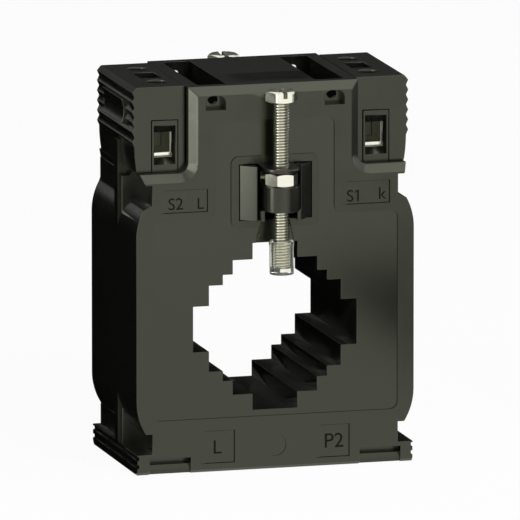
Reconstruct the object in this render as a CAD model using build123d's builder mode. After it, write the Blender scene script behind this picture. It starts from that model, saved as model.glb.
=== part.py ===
from build123d import *
import os
from math import asin, cos, degrees, isclose, radians, sin, sqrt

# A moulded-case current transformer. A stepped window takes a cable or a flat bar,
# a clamp screw on each face presses on it, and the secondary ends in covered cage
# terminals on the two shoulders. Millimetres, +Z up, -Y is the front.
# The origin is the centre of the case's underside.

os.makedirs("parts", exist_ok=True)

# Case outline, seen from the front. An inset is how far a piece stays inside the case's side.
case_width = 70.0
case_depth = 42.0
case_height = 95.0
wall = 2.0
foot_inset = 0.25
foot_height = 5.1
neck_inset_front = 4.0
neck_inset_rear = 2.2
neck_height = 5.0
wing_radius = 15.0
wing_run_in = 8.1
wing_top_drop = 0.9
wing_top_run = 7.3
shoulder_height = 74.0
shoulder_thickness = 2.5
shoulder_inset = 1.4
shoulder_undercut = 1.0
neck_top_height = 5.0
shoulder_fillet = 2.5
front_chamfer = 2.1
bottom_chamfer = 0.9

# Seam between the two halves of the case
front_half_depth = 17.4
flange_thickness = 2.0
flange_inset = 0.5
rib_thickness = 3.2
rib_above_shoulder = 6.2
rib_tab_thickness = 2.0

# Foot grooves and clip slots
foot_groove_depth = 0.4
foot_groove_height = 1.0
foot_groove_pitch = 2.0
foot_groove_base = 2.2
clip_slot_inset = 8.25
clip_slot_width = 10.3
clip_notch_height = 4.0
clip_notch_depth = 1.5
clip_lip_height = 2.4
clip_slot_depth = 3.5

# Window: the flat bars that it takes, lying flat and standing
window_height = 35.5
bar_sizes = ((40.0, 10.0), (32.0, 20.0), (25.0, 25.0))
bar_clearance = 1.2
tube_wall = 1.6

# Wells beside the top plate, and the sealing recesses that lead to them
well_inset = 3.1
well_width = 7.0
well_end_inset = 4.5
well_depth = 10.0
seal_recess_width = 5.0
seal_recess_height = 3.5
seal_recess_drop = 2.1
seal_recess_depth = 3.0
seal_recess_rounding = 1.9
seal_hole_diameter = 2.3
seal_hole_drop = 1.3

# Label field and the small boxes for the terminals' marks
label_depth = 0.4
label_inset = 4.1
label_bottom = 13.3
label_shoulder_drop = 11.3
label_neck_inset = 6.5
label_top_drop = 8.5
label_radius = 2.0
mark_depth = 0.25
upper_mark_inset = 8.05
upper_mark_drop = 6.65
upper_mark_size = (11.9, 5.7)
lower_mark_centre = (14.5, 6.25)
lower_mark_size = (8.5, 8.1)
round_mark_diameter = 5.5
round_mark_height = 6.0

# Clamp pocket above the window, its rim, and the holder that is pressed into it
pocket_width = 18.1
pocket_height = 13.6
pocket_rise = 5.9
pocket_depth = 2.2
pocket_floor = 1.5
rim_width = 2.05
rim_radius = 1.9
rim_gap_width = 7.2
channel_top_width = 6.8
channel_bottom_width = 9.6
channel_depth = 0.7
holder_fit = 0.05
cheek_rise = 3.3
cheek_land = 0.4
boss_half_width = 4.45
boss_rise = 3.0
boss_stand = 0.1
boss_plate = 1.0
clamp_reach = 5.5
leg_inner = 4.05
leg_thickness = 1.05
leg_rise = 0.3
leg_reach = 5.3
screw_hole_clearance = 0.2

# Clamp screw, nut and cap
clamp_thread = 4.0
thread_running_clearance = 0.05
clamp_tip_below_window_top = 5.1
clamp_head_drop = 3.3
clamp_head_height = 2.9
hex_across_flats = 7.0
clamp_slot_width = 1.2
clamp_slot_depth = 1.7
nut_height = 3.2
nut_slot_height = 3.5
cap_diameter = 6.2
cap_height = 8.0
cap_base = 1.6
cap_bore_clearance = 0.1

# Terminal cover
cover_inset = 0.2
cover_gap = 0.15
cover_width = 13.4
cover_end_inset = 4.45
cover_wall = 1.2
cover_inner_wall = 0.9
cover_roof = 1.6
cover_outer_wall = 1.35
serration_count = 6
serration_depth = 0.55
serration_first = 1.2
serration_tuck_height = 5.04
tuck_bulge = 0.1
tuck_bulge_height = 3.6
cover_top_bevel = 1.0
cover_tuck = 1.1
pad_end_inset = 7.55
pad_drop = 3.9
pad_share = 0.29
pad_stand = 0.8
pad_dish = 0.7
access_hole_diameter = 5.0
finger_recess_width = 5.1
finger_recess_length = 7.8
finger_recess_depth = 2.2
finger_recess_wall = 0.8

# Terminals. The stack is what stands on the shoulder below and above the wire's throat.
terminal_inset = 5.2
chamber_end_gap = 3.25
chamber_length = 8.4
chamber_width = 5.7
chamber_floor = 3.0
snout_width = 6.4
snout_roof = 1.2
funnel_width = 5.4
funnel_flare = 1.5
funnel_flare_above = 2.0
throat_width = 4.7
throat_bottom = 3.3
throat_to_bar = 0.2
funnel_depth = 2.25
base_fit = 0.15
base_head_room = 2.6
cage_gap = 0.05
cage_width = 5.4
cage_length = 8.0
cage_side = 0.5
cage_plate = 1.2
cage_over_bar = 0.4
cage_travel_share = 0.876
cage_to_head = 0.25
bar_width = 3.8
bar_end_gap = 3.55
bar_thickness = 1.2
bar_fit = 0.05
terminal_thread = 3.0
terminal_head_diameter = 4.6
terminal_head_height = 2.0
head_to_roof = 0.2
terminal_slot_width = 0.7
terminal_slot_depth = 0.9
lead_diameter = 1.2
lead_hole_clearance = 0.2
lead_gap = 0.2

# Ring core and the winding round it, between the window tube and the case's walls
ring_side_gap = 0.6
ring_tube_gap = 0.45
ring_end_gap = 0.9
core_share = 0.6
core_fit = 0.05
winding_gap_angle = 14.0

# How close an edge has to be to count as found
match_tolerance = 0.01

# Worked out from the sizes above: the case
front_y = -case_depth / 2
seam_y = front_y + front_half_depth
rear_half_depth = case_depth - front_half_depth
tower_half = case_width / 2 - cover_inset - cover_width
tower_height = case_height - shoulder_height
neck_half_front = case_width / 2 - neck_inset_front
neck_half_rear = case_width / 2 - neck_inset_rear
foot_half = case_width / 2 - foot_inset
shoulder_bottom = shoulder_height - shoulder_thickness
well_inner = tower_half - well_inset - well_width
window_top = window_height + (max(max(bar) for bar in bar_sizes) + bar_clearance) / 2

# The clamps
pocket_bottom = window_top + pocket_rise
pocket_top = pocket_bottom + pocket_height
pocket_middle = pocket_bottom + pocket_height / 2
clamp_y = case_depth / 2 + clamp_reach
boss_bottom = pocket_bottom + boss_rise
boss_top = pocket_top + boss_stand
nut_bottom = boss_top - boss_plate - nut_slot_height
clamp_screw_tip = window_top - clamp_tip_below_window_top
clamp_head_bottom = case_height - clamp_head_drop

# The covers and terminals
cover_outer = tower_half + cover_width
cover_inner = tower_half + cover_gap
cover_length = case_depth - 2 * cover_end_inset
serration_pitch = (tower_height - serration_first - serration_tuck_height) / serration_count
pad_top = case_height - pad_drop
pad_bottom = pad_top - pad_share * tower_height
terminal_offset = tower_half + terminal_inset
terminal_spacing = cover_length - 2 * chamber_end_gap - chamber_length
stack = (
    throat_bottom + throat_to_bar + bar_thickness + cage_over_bar + cage_plate
    + cage_to_head + terminal_head_height + head_to_roof + cover_roof
)
plate_space = chamber_floor + cage_gap + cage_plate - throat_bottom
throat_height = plate_space + (tower_height - stack - plate_space) / (1 + cage_travel_share)
funnel_bottom = throat_bottom - funnel_flare
funnel_height = funnel_flare + throat_height + funnel_flare_above
snout_height = funnel_bottom + funnel_height + snout_roof
bar_z = shoulder_height + throat_bottom + throat_height + throat_to_bar
bar_length = cover_length - 2 * bar_end_gap
cage_bottom = shoulder_height + chamber_floor + cage_gap
cage_height = bar_z + bar_thickness + cage_over_bar + cage_plate - cage_bottom
terminal_head_top = case_height - cover_roof - head_to_roof
base_height = tower_height - cover_roof - base_head_room
base_inner = cover_inner + cover_inner_wall + base_fit
base_outer = cover_outer - cover_outer_wall - serration_depth - base_fit
base_half_length = cover_length / 2 - cover_wall - base_fit

# The ring
tube_corner = max(
    sqrt(((length + bar_clearance) / 2 + tube_wall) ** 2 + ((width + bar_clearance) / 2 + tube_wall) ** 2)
    for length, width in bar_sizes
)
winding_inner_radius = tube_corner + ring_tube_gap
winding_outer_radius = case_width / 2 - wall - ring_side_gap
winding_half_width = case_depth / 2 - pocket_depth - pocket_floor - ring_end_gap
winding_thickness = (1 - core_share) / 2 * (winding_outer_radius - winding_inner_radius)
core_inner_radius = winding_inner_radius + winding_thickness + core_fit
core_outer_radius = winding_outer_radius - winding_thickness - core_fit
core_width = 2 * (winding_half_width - winding_thickness - core_fit)


def face_plane(side, depth=0.0):
    """Plane parallel to the front (side -1) or rear (side 1) face, depth inside it."""
    return Plane(origin=(0, side * (case_depth / 2 - depth), 0), x_dir=(-side, 0, 0), z_dir=(0, side, 0))


def case_outline(plane, neck):
    """Closed outline of the foot, necks, wings and shoulders."""
    shoulder = case_width / 2 - shoulder_inset
    arc_x = case_width / 2 - wing_radius
    wing_bottom = foot_height + neck_height
    wing_top = shoulder_bottom - neck_top_height
    low_tangent = wing_bottom + wing_run_in
    high_tangent = wing_top - wing_top_drop - wing_top_run
    low_angle = degrees(asin(wing_run_in / wing_radius))
    high_angle = degrees(asin(wing_top_run / wing_radius))
    with BuildSketch(plane) as outline:
        with BuildLine():
            low = CenterArc((arc_x, low_tangent), wing_radius, -low_angle, low_angle)
            high = CenterArc((arc_x, high_tangent), wing_radius, 0, high_angle)
            Line(low @ 1, high @ 0)
            Polyline(
                (0, 0), (foot_half, 0), (foot_half, foot_height), (neck, foot_height), (neck, wing_bottom), low @ 0
            )
            Polyline(
                high @ 1,
                (neck, wing_top),
                (neck, shoulder_bottom),
                (shoulder - shoulder_undercut, shoulder_bottom),
                (shoulder, shoulder_height),
                (0, shoulder_height),
            )
            mirror(about=Plane.YZ)
        make_face()
    return outline.sketch


def cavity_outline(plane, outer_neck):
    """Outline of the hollow inside one half of the case, below its shoulders."""
    low = wall
    high = shoulder_height - wall
    neck = outer_neck - wall
    side = case_width / 2 - wall
    radius = wing_radius - wall
    arc_x = side - radius
    wing_bottom = foot_height + neck_height + wall
    wing_top = shoulder_bottom - neck_top_height - wing_top_drop - wall
    low_tangent = foot_height + neck_height + wing_run_in
    high_tangent = wing_top + wall - wing_top_run
    low_angle = degrees(asin((low_tangent - wing_bottom) / radius))
    high_angle = degrees(asin((wing_top - high_tangent) / radius))
    with BuildSketch(plane) as hollow:
        with BuildLine():
            first = CenterArc((arc_x, low_tangent), radius, -low_angle, low_angle)
            second = CenterArc((arc_x, high_tangent), radius, 0, high_angle)
            Line(first @ 1, second @ 0)
            Polyline((0, low), (neck, low), (neck, wing_bottom), first @ 0)
            Polyline(second @ 1, (neck, wing_top), (neck, high), (0, high))
            mirror(about=Plane.YZ)
        make_face()
    return hollow.sketch


def window_outline(plane, margin=0.0):
    """Union of the bars' sections, flat and standing, with their clearance and a margin."""
    grow = bar_clearance + 2 * margin
    with BuildSketch(plane) as window:
        with Locations((0, window_height)):
            for width, height in bar_sizes:
                Rectangle(width + grow, height + grow)
                Rectangle(height + grow, width + grow)
    return window.sketch


def case_half(side, half_depth, neck, seam_half, seam_depth, seam_top):
    """One moulded half: wings, shoulders and tower, hollow, with its half of the window tube."""
    face = face_plane(side)
    inside = face_plane(side, wall)
    seam = face_plane(side, half_depth - seam_depth)
    well_floor = case_height - well_depth
    tower_hollow = tower_half - wall
    core_hollow = well_inner - wall
    with BuildPart() as half:
        # Foot, wings and shoulders, then the tower between the terminals
        extrude(case_outline(face, neck), amount=-half_depth)
        with BuildSketch(face):
            with Locations((0, shoulder_height + tower_height / 2)):
                Rectangle(2 * tower_half, tower_height)
        extrude(amount=-half_depth)
        # Seam flange or rib, straight from the foot to its top
        with BuildSketch(seam):
            with Locations((0, (foot_height + seam_top) / 2)):
                Rectangle(2 * seam_half, seam_top - foot_height)
        extrude(amount=-seam_depth)
        if seam_top > shoulder_height:
            # Only a tab stands on each shoulder above it
            with BuildSketch(seam):
                with Locations((0, (shoulder_height + seam_top) / 2)):
                    Rectangle(2 * (seam_half - rib_tab_thickness), seam_top - shoulder_height)
                    Rectangle(2 * tower_half, seam_top - shoulder_height, mode=Mode.SUBTRACT)
            extrude(amount=-seam_depth, mode=Mode.SUBTRACT)
        # Inner corners between tower and shoulders, then the bevel round the front
        corners = half.edges().filter_by(Axis.Y).filter_by(
            lambda e: isclose(abs(e.center().X), tower_half, abs_tol=match_tolerance)
            and isclose(e.center().Z, shoulder_height, abs_tol=match_tolerance)
        )
        fillet(corners, shoulder_fillet)
        front = half.faces().filter_by(Axis.Y).sort_by(Axis.Y)[0 if side < 0 else -1]
        chamfer(front.edges().filter_by(lambda e: e.center().Z > shoulder_height - match_tolerance), front_chamfer)
        front = half.faces().filter_by(Axis.Y).sort_by(Axis.Y)[0 if side < 0 else -1]
        chamfer(front.edges().sort_by(Axis.Z)[0], bottom_chamfer)
        # Square seats of the covers between those corners
        seat_width = shoulder_fillet + cover_gap
        with BuildSketch(Plane.XY.offset(shoulder_height)):
            with GridLocations(2 * tower_half + seat_width, 0, 2, 1):
                Rectangle(seat_width, cover_length + 2 * cover_gap)
        extrude(amount=seat_width, mode=Mode.SUBTRACT)
        # Hollow for the ring, and the hollow of the tower down to it
        extrude(cavity_outline(inside, neck), amount=-half_depth, mode=Mode.SUBTRACT)
        with BuildSketch(inside):
            hollow_bottom = shoulder_height - 2 * wall
            with Locations((0, (hollow_bottom + well_floor - wall) / 2)):
                Rectangle(2 * tower_hollow, well_floor - wall - hollow_bottom)
            with Locations((0, (hollow_bottom + case_height - wall) / 2)):
                Rectangle(2 * core_hollow, case_height - wall - hollow_bottom)
        extrude(amount=-half_depth, mode=Mode.SUBTRACT)
        # Half of the window tube
        extrude(window_outline(face, tube_wall), amount=-half_depth)
        extrude(window_outline(face), amount=-half_depth, mode=Mode.SUBTRACT)
        # Wells beside the top plate
        with BuildSketch(Plane.XY.offset(well_floor)):
            with GridLocations(2 * well_inner + well_width, 0, 2, 1):
                Rectangle(well_width, case_depth - 2 * well_end_inset)
        extrude(amount=well_depth, mode=Mode.SUBTRACT)
        # Sealing recesses, flat below and round above, each with a hole to its well
        recess_span = 2 * (well_inner + cover_gap) + well_width
        recess_top = case_height - seal_recess_drop
        with BuildSketch(face) as recesses:
            with Locations((0, recess_top - seal_recess_height / 2)):
                with GridLocations(recess_span, 0, 2, 1):
                    Rectangle(seal_recess_width, seal_recess_height)
            fillet(recesses.vertices().group_by(Axis.Y)[-1], seal_recess_rounding)
        extrude(amount=-seal_recess_depth, mode=Mode.SUBTRACT)
        with BuildSketch(face):
            with Locations((0, recess_top - seal_hole_drop)):
                with GridLocations(recess_span, 0, 2, 1):
                    Circle(seal_hole_diameter / 2)
        extrude(amount=-(well_end_inset + wall), mode=Mode.SUBTRACT)
        # Clamp pocket with its floor
        with BuildSketch(inside):
            with Locations((0, pocket_middle)):
                Rectangle(pocket_width + 2 * pocket_floor, pocket_height + 2 * pocket_floor)
        extrude(amount=-(pocket_depth + pocket_floor - wall))
        with BuildSketch(face):
            with Locations((0, pocket_middle)):
                Rectangle(pocket_width, pocket_height)
        extrude(amount=-pocket_depth, mode=Mode.SUBTRACT)
        # Clip slots in the foot, with a closed block behind each
        clip_span = 2 * (foot_half - clip_slot_inset)
        block_height = clip_notch_height + wall / 2
        with BuildSketch(inside):
            with Locations((0, block_height / 2)):
                with GridLocations(clip_span, 0, 2, 1):
                    Rectangle(clip_slot_width + wall, block_height)
        extrude(amount=-(clip_slot_depth + wall))
        with BuildSketch(face):
            with Locations((0, clip_notch_height / 2)):
                with GridLocations(clip_span, 0, 2, 1):
                    Rectangle(clip_slot_width, clip_notch_height)
        extrude(amount=-clip_notch_depth, mode=Mode.SUBTRACT)
        with BuildSketch(face):
            with Locations((0, (clip_lip_height + clip_notch_height) / 2)):
                with GridLocations(clip_span, 0, 2, 1):
                    Rectangle(clip_slot_width, clip_notch_height - clip_lip_height)
        extrude(amount=-clip_slot_depth, mode=Mode.SUBTRACT)
        # Grooves along the foot's sides
        with BuildSketch(face):
            with Locations((0, foot_groove_base + foot_groove_pitch / 2)):
                with GridLocations(2 * foot_half, foot_groove_pitch, 2, 2):
                    Rectangle(2 * foot_groove_depth, foot_groove_height)
        extrude(amount=-half_depth, mode=Mode.SUBTRACT)
    return half


# Front half of the case
front_half = case_half(
    -1, front_half_depth, neck_half_front, case_width / 2 - flange_inset, flange_thickness, shoulder_bottom
)
with BuildPart() as front_shell:
    add(front_half.part)
    # Label field in the shape of a T, leaving the pocket's rim standing
    label_shoulder = shoulder_height - label_shoulder_drop
    label_top = case_height - label_top_drop
    with BuildSketch(face_plane(-1)) as label_field:
        with Locations((0, (label_bottom + label_shoulder) / 2)):
            Rectangle(case_width - 2 * label_inset, label_shoulder - label_bottom)
        with Locations((0, (label_bottom + label_top) / 2)):
            Rectangle(2 * (tower_half - label_neck_inset), label_top - label_bottom)
        fillet(label_field.vertices(), label_radius)
        with Locations((0, pocket_middle)):
            RectangleRounded(
                pocket_width + 2 * rim_width, pocket_height + 2 * rim_width, rim_radius, mode=Mode.SUBTRACT
            )
        with Locations((0, pocket_bottom - rim_width / 2)):
            Rectangle(rim_gap_width, rim_width)
    extrude(amount=-label_depth, mode=Mode.SUBTRACT)
    # Shallow channel that widens from the rim down to the window
    with BuildSketch(face_plane(-1)):
        with BuildLine():
            top = channel_top_width / 2
            low = channel_bottom_width / 2
            Polyline(
                (-top, pocket_bottom), (top, pocket_bottom), (low, window_top), (-low, window_top), close=True
            )
        make_face()
    extrude(amount=-channel_depth, mode=Mode.SUBTRACT)
    # Shallow boxes for the terminals' marks, and a round one
    with BuildSketch(face_plane(-1)):
        with Locations((0, shoulder_height - upper_mark_drop)):
            with GridLocations(2 * (neck_half_front - upper_mark_inset), 0, 2, 1):
                Rectangle(*upper_mark_size)
        with Locations((0, lower_mark_centre[1])):
            with GridLocations(2 * lower_mark_centre[0], 0, 2, 1):
                Rectangle(*lower_mark_size)
        with Locations((0, round_mark_height)):
            Circle(round_mark_diameter / 2)
    extrude(amount=-mark_depth, mode=Mode.SUBTRACT)
front_shell.part.label = "front_shell"
export_step(front_shell.part, "parts/front_shell.step")

# Rear half of the case, with the rib that runs up both sides and the holes for the leads
rear_half = case_half(
    1, rear_half_depth, neck_half_rear, case_width / 2, rib_thickness, shoulder_height + rib_above_shoulder
)
with BuildPart() as rear_shell:
    add(rear_half.part)
    with BuildSketch(Plane.XY.offset(shoulder_height)):
        with GridLocations(2 * terminal_offset, 0, 2, 1):
            Circle(lead_diameter / 2 + lead_hole_clearance)
    extrude(amount=-2 * wall, mode=Mode.SUBTRACT)
rear_shell.part.label = "rear_shell"
export_step(rear_shell.part, "parts/rear_shell.step")


def serrated_side(plane, side):
    """Section of a cover across its length: grip ribs outside, tucked in below, bevelled above."""
    ribs = [(side * (cover_outer - cover_top_bevel), case_height)]
    for i in range(serration_count):
        peak = case_height - serration_first - i * serration_pitch
        ribs.append((side * cover_outer, peak))
        ribs.append((side * (cover_outer - serration_depth), peak - serration_pitch / 2))
    bulge = (side * (cover_outer - serration_depth - tuck_bulge), shoulder_height + tuck_bulge_height)
    low = (side * (cover_outer - cover_tuck), shoulder_height)
    with BuildSketch(plane) as section:
        with BuildLine():
            Polyline(*ribs)
            ThreePointArc(ribs[-1], bulge, low)
            Polyline(low, (side * cover_inner, shoulder_height), (side * cover_inner, case_height), ribs[0])
        make_face()
    return section.sketch


def terminal_cover(side):
    """Cap over one shoulder's terminals, open below, with a dished thumb pad on its ribs."""
    hollow_inner = cover_inner + cover_inner_wall
    hollow_outer = cover_outer - cover_outer_wall - serration_depth
    hollow_middle = side * (hollow_inner + hollow_outer) / 2
    hollow_top = case_height - cover_roof
    centre = side * terminal_offset
    end = Plane.XZ.offset(cover_length / 2)
    with BuildPart() as cover:
        extrude(serrated_side(end, side), amount=-cover_length)
        # Thumb pad, hollow to the finger
        root = side * (cover_outer - cover_outer_wall)
        edge = side * (cover_outer + pad_stand)
        dish = side * (cover_outer + pad_stand - pad_dish)
        with BuildSketch(end.offset(-pad_end_inset)):
            with BuildLine():
                Polyline((edge, pad_top), (root, pad_top), (root, pad_bottom), (edge, pad_bottom))
                ThreePointArc((edge, pad_bottom), (dish, (pad_top + pad_bottom) / 2), (edge, pad_top))
            make_face()
        extrude(amount=-(cover_length - 2 * pad_end_inset))
        # Hollow, open below, with the floor of the finger recess left under the roof
        with BuildSketch(Plane.XY.offset(shoulder_height)):
            with Locations((hollow_middle, 0)):
                Rectangle(hollow_outer - hollow_inner, cover_length - 2 * cover_wall)
        extrude(amount=hollow_top - shoulder_height, mode=Mode.SUBTRACT)
        with BuildSketch(Plane.XY.offset(hollow_top)):
            with Locations((centre, 0)):
                Rectangle(
                    finger_recess_width + 2 * finger_recess_wall, finger_recess_length + 2 * finger_recess_wall
                )
        extrude(amount=-(finger_recess_depth + finger_recess_wall - cover_roof))
        # Cut-outs round the wire entries, front and rear
        with BuildSketch(end):
            with Locations((centre, shoulder_height + (snout_height + base_fit) / 2)):
                Rectangle(snout_width + 2 * base_fit, snout_height + base_fit)
        extrude(amount=-cover_length, mode=Mode.SUBTRACT)
        # Notch over the rib's tab
        with BuildSketch(Plane.XY.offset(shoulder_height)):
            with Locations((side * (case_width - rib_tab_thickness) / 2, seam_y + rib_thickness / 2)):
                Rectangle(rib_tab_thickness + 2 * base_fit, rib_thickness + 2 * base_fit)
        extrude(amount=rib_above_shoulder + base_fit, mode=Mode.SUBTRACT)
        # Holes over the screws, and the finger recess between them
        with BuildSketch(Plane.XY.offset(case_height)):
            with Locations((centre, 0)):
                with GridLocations(0, terminal_spacing, 1, 2):
                    Circle(access_hole_diameter / 2)
        extrude(amount=-2 * cover_roof, mode=Mode.SUBTRACT)
        with BuildSketch(Plane.XY.offset(case_height)):
            with Locations((centre, 0)):
                Rectangle(finger_recess_width, finger_recess_length)
        extrude(amount=-finger_recess_depth, mode=Mode.SUBTRACT)
    return cover


def terminal_base(side):
    """Insulating block in the cover: a funnel at each end and an upright chamber for each cage."""
    centre = side * terminal_offset
    half_length = cover_length / 2
    throat_depth = half_length - funnel_depth - terminal_spacing / 2
    with BuildPart() as base:
        with BuildSketch(Plane.XY.offset(shoulder_height)):
            with Locations((side * (base_inner + base_outer) / 2, 0)):
                Rectangle(base_outer - base_inner, 2 * base_half_length)
        extrude(amount=base_height)
        with BuildSketch(Plane.XY.offset(shoulder_height)):
            with Locations((centre, 0)):
                Rectangle(snout_width, cover_length)
        extrude(amount=snout_height)
        # Chambers, open above, with their floor over the shoulder
        with BuildSketch(Plane.XY.offset(shoulder_height + chamber_floor)):
            with Locations((centre, 0)):
                with GridLocations(0, terminal_spacing, 1, 2):
                    Rectangle(chamber_width, chamber_length)
        extrude(amount=base_height, mode=Mode.SUBTRACT)
        # Funnels that narrow to a throat and open into the chambers
        for end in (-1, 1):
            mouth = Plane(origin=(centre, end * half_length, shoulder_height), x_dir=(-end, 0, 0), z_dir=(0, end, 0))
            throat = mouth.offset(-funnel_depth)
            with BuildSketch(mouth):
                with Locations((0, funnel_bottom + funnel_height / 2)):
                    Rectangle(funnel_width, funnel_height)
            with BuildSketch(throat):
                with Locations((0, throat_bottom + throat_height / 2)):
                    Rectangle(throat_width, throat_height)
            loft(ruled=True, mode=Mode.SUBTRACT)
            with BuildSketch(throat):
                with Locations((0, throat_bottom + throat_height / 2)):
                    Rectangle(throat_width, throat_height)
            extrude(amount=-throat_depth, mode=Mode.SUBTRACT)
        # Slot for the contact bar, and the shaft of the lead below it
        with BuildSketch(Plane.XY.offset(bar_z - bar_fit)):
            with Locations((centre, 0)):
                Rectangle(bar_width + 2 * bar_fit, bar_length + 2 * bar_fit)
        extrude(amount=bar_thickness + 2 * bar_fit, mode=Mode.SUBTRACT)
        with BuildSketch(Plane.XY.offset(shoulder_height)):
            with Locations((centre, 0)):
                shaft = lead_diameter + 2 * lead_hole_clearance
                Rectangle(shaft, shaft)
        extrude(amount=bar_z - shoulder_height, mode=Mode.SUBTRACT)
    return base


def contact_bar(side):
    """Flat bar that both screws of one side press the wires' cages against."""
    with BuildPart() as bar:
        with BuildSketch(Plane.XY.offset(bar_z)):
            with Locations((side * terminal_offset, 0)):
                Rectangle(bar_width, bar_length)
        extrude(amount=bar_thickness)
    return bar


def winding_lead(side):
    """Wire that runs straight down from the bar to the winding."""
    rise = sqrt((winding_outer_radius + lead_gap) ** 2 - (terminal_offset - lead_diameter) ** 2)
    with BuildPart() as lead:
        with BuildSketch(Plane.XY.offset(bar_z)):
            with Locations((side * terminal_offset, 0)):
                Circle(lead_diameter / 2)
        extrude(amount=-(bar_z - window_height - rise))
    return lead


def terminal_cage(x, y):
    """Bent steel cage, open towards the wire, with the screw's thread through its top."""
    with BuildPart() as cage:
        with BuildSketch(Plane.XY.offset(cage_bottom)):
            with Locations((x, y)):
                Rectangle(cage_width, cage_length)
        extrude(amount=cage_height)
        with BuildSketch(Plane.XZ.offset(cage_length / 2 - y)):
            with Locations((x, cage_bottom + cage_height / 2)):
                Rectangle(cage_width - 2 * cage_side, cage_height - 2 * cage_plate)
        extrude(amount=-cage_length, mode=Mode.SUBTRACT)
        with BuildSketch(Plane.XY.offset(cage_bottom + cage_height)):
            with Locations((x, y)):
                Circle(terminal_thread / 2 + thread_running_clearance)
        extrude(amount=-2 * cage_plate, mode=Mode.SUBTRACT)
    return cage


def terminal_screw(x, y):
    """Slotted cheese-head screw that stands on the contact bar, its thread left plain."""
    head_bottom = terminal_head_top - terminal_head_height
    tip = bar_z + bar_thickness + cage_gap
    with BuildPart() as screw:
        with BuildSketch(Plane.XY.offset(tip)):
            with Locations((x, y)):
                Circle(terminal_thread / 2)
        extrude(amount=head_bottom - tip)
        with BuildSketch(Plane.XY.offset(head_bottom)):
            with Locations((x, y)):
                Circle(terminal_head_diameter / 2)
        extrude(amount=terminal_head_height)
        with BuildSketch(Plane.XY.offset(terminal_head_top)):
            with Locations((x, y)):
                Rectangle(terminal_head_diameter, terminal_slot_width)
        extrude(amount=-terminal_slot_depth, mode=Mode.SUBTRACT)
    return screw


# Covers, bases, contact bars, leads, cages and screws of the left and right terminals
for hand, side in (("left", -1), ("right", 1)):
    pieces = [
        (f"terminal_cover_{hand}", terminal_cover(side)),
        (f"terminal_base_{hand}", terminal_base(side)),
        (f"terminal_bar_{hand}", contact_bar(side)),
        (f"lead_{hand}", winding_lead(side)),
    ]
    for end, place in (("front", -1), ("rear", 1)):
        spot = (side * terminal_offset, place * terminal_spacing / 2)
        pieces.append((f"terminal_cage_{hand}_{end}", terminal_cage(*spot)))
        pieces.append((f"terminal_screw_{hand}_{end}", terminal_screw(*spot)))
    for name, piece in pieces:
        piece.part.label = name
        export_step(piece.part, f"parts/{name}.step")


def clamp_holder(side):
    """Plastic holder pressed into the pocket: sloped cheeks and a boss that traps the nut."""
    half_width = pocket_width / 2 - holder_fit
    low = pocket_bottom + holder_fit
    height = pocket_height - 2 * holder_fit
    face = side * case_depth / 2
    cheek_face = face + side * cheek_rise
    cheek_inner = half_width - cheek_rise
    screw_y = side * clamp_y
    with BuildPart() as holder:
        # Plate in the pocket
        with BuildSketch(face_plane(side, pocket_depth)):
            with Locations((0, pocket_middle)):
                Rectangle(2 * half_width, height)
        extrude(amount=pocket_depth)
        # Cheeks at 45 degrees, each with a short flat at its inner edge
        with BuildSketch(Plane.XY.offset(low)):
            for reach in (-1, 1):
                with BuildLine():
                    Polyline(
                        (reach * half_width, face),
                        (reach * cheek_inner, cheek_face),
                        (reach * (cheek_inner - cheek_land), cheek_face),
                        (reach * (cheek_inner - cheek_land), face),
                        close=True,
                    )
                make_face()
        extrude(amount=height)
        # Boss with a round nose about the screw
        with BuildSketch(Plane.XY.offset(boss_bottom)):
            with Locations((0, (face + screw_y) / 2)):
                Rectangle(2 * boss_half_width, clamp_reach)
            with Locations((0, screw_y)):
                Circle(boss_half_width)
        extrude(amount=boss_top - boss_bottom)
        # Slot that the nut slides into from the front
        slot_rear = face + side * (clamp_reach - hex_across_flats / 2 - holder_fit)
        slot_front = screw_y + side * 2 * boss_half_width
        with BuildSketch(Plane.XY.offset(nut_bottom)):
            with Locations((0, (slot_rear + slot_front) / 2)):
                Rectangle(2 * boss_half_width, abs(slot_front - slot_rear))
        extrude(amount=nut_slot_height, mode=Mode.SUBTRACT)
        # Legs below the boss
        with BuildSketch(Plane.XY.offset(pocket_bottom + leg_rise)):
            with Locations((0, face + side * leg_reach / 2)):
                with GridLocations(2 * leg_inner + leg_thickness, 0, 2, 1):
                    Rectangle(leg_thickness, leg_reach)
        extrude(amount=boss_rise - leg_rise)
        # Clearance hole of the screw
        with BuildSketch(Plane.XY.offset(boss_top)):
            with Locations((0, screw_y)):
                Circle(clamp_thread / 2 + screw_hole_clearance)
        extrude(amount=-(boss_top - pocket_bottom), mode=Mode.SUBTRACT)
    return holder


def clamp_nut(side):
    """Hex nut in the holder's slot, one flat against its rear wall."""
    with BuildPart() as nut:
        with BuildSketch(Plane.XY.offset(nut_bottom)):
            with Locations((0, side * clamp_y)):
                RegularPolygon(hex_across_flats / 2, 6, major_radius=False)
                Circle(clamp_thread / 2 + thread_running_clearance, mode=Mode.SUBTRACT)
        extrude(amount=nut_height)
    return nut


def clamp_screw(side):
    """Long screw with a slotted hex head, its thread left as a plain shank."""
    head_top = clamp_head_bottom + clamp_head_height
    with BuildPart() as screw:
        with BuildSketch(Plane.XY.offset(clamp_screw_tip)):
            with Locations((0, side * clamp_y)):
                Circle(clamp_thread / 2)
        extrude(amount=clamp_head_bottom - clamp_screw_tip)
        with BuildSketch(Plane.XY.offset(clamp_head_bottom)):
            with Locations((0, side * clamp_y)):
                RegularPolygon(hex_across_flats / 2, 6, major_radius=False)
        extrude(amount=clamp_head_height)
        with BuildSketch(Plane.XY.offset(head_top)):
            with Locations((0, side * clamp_y)):
                Rectangle(clamp_slot_width, 2 * hex_across_flats)
        extrude(amount=-clamp_slot_depth, mode=Mode.SUBTRACT)
    return screw


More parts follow.
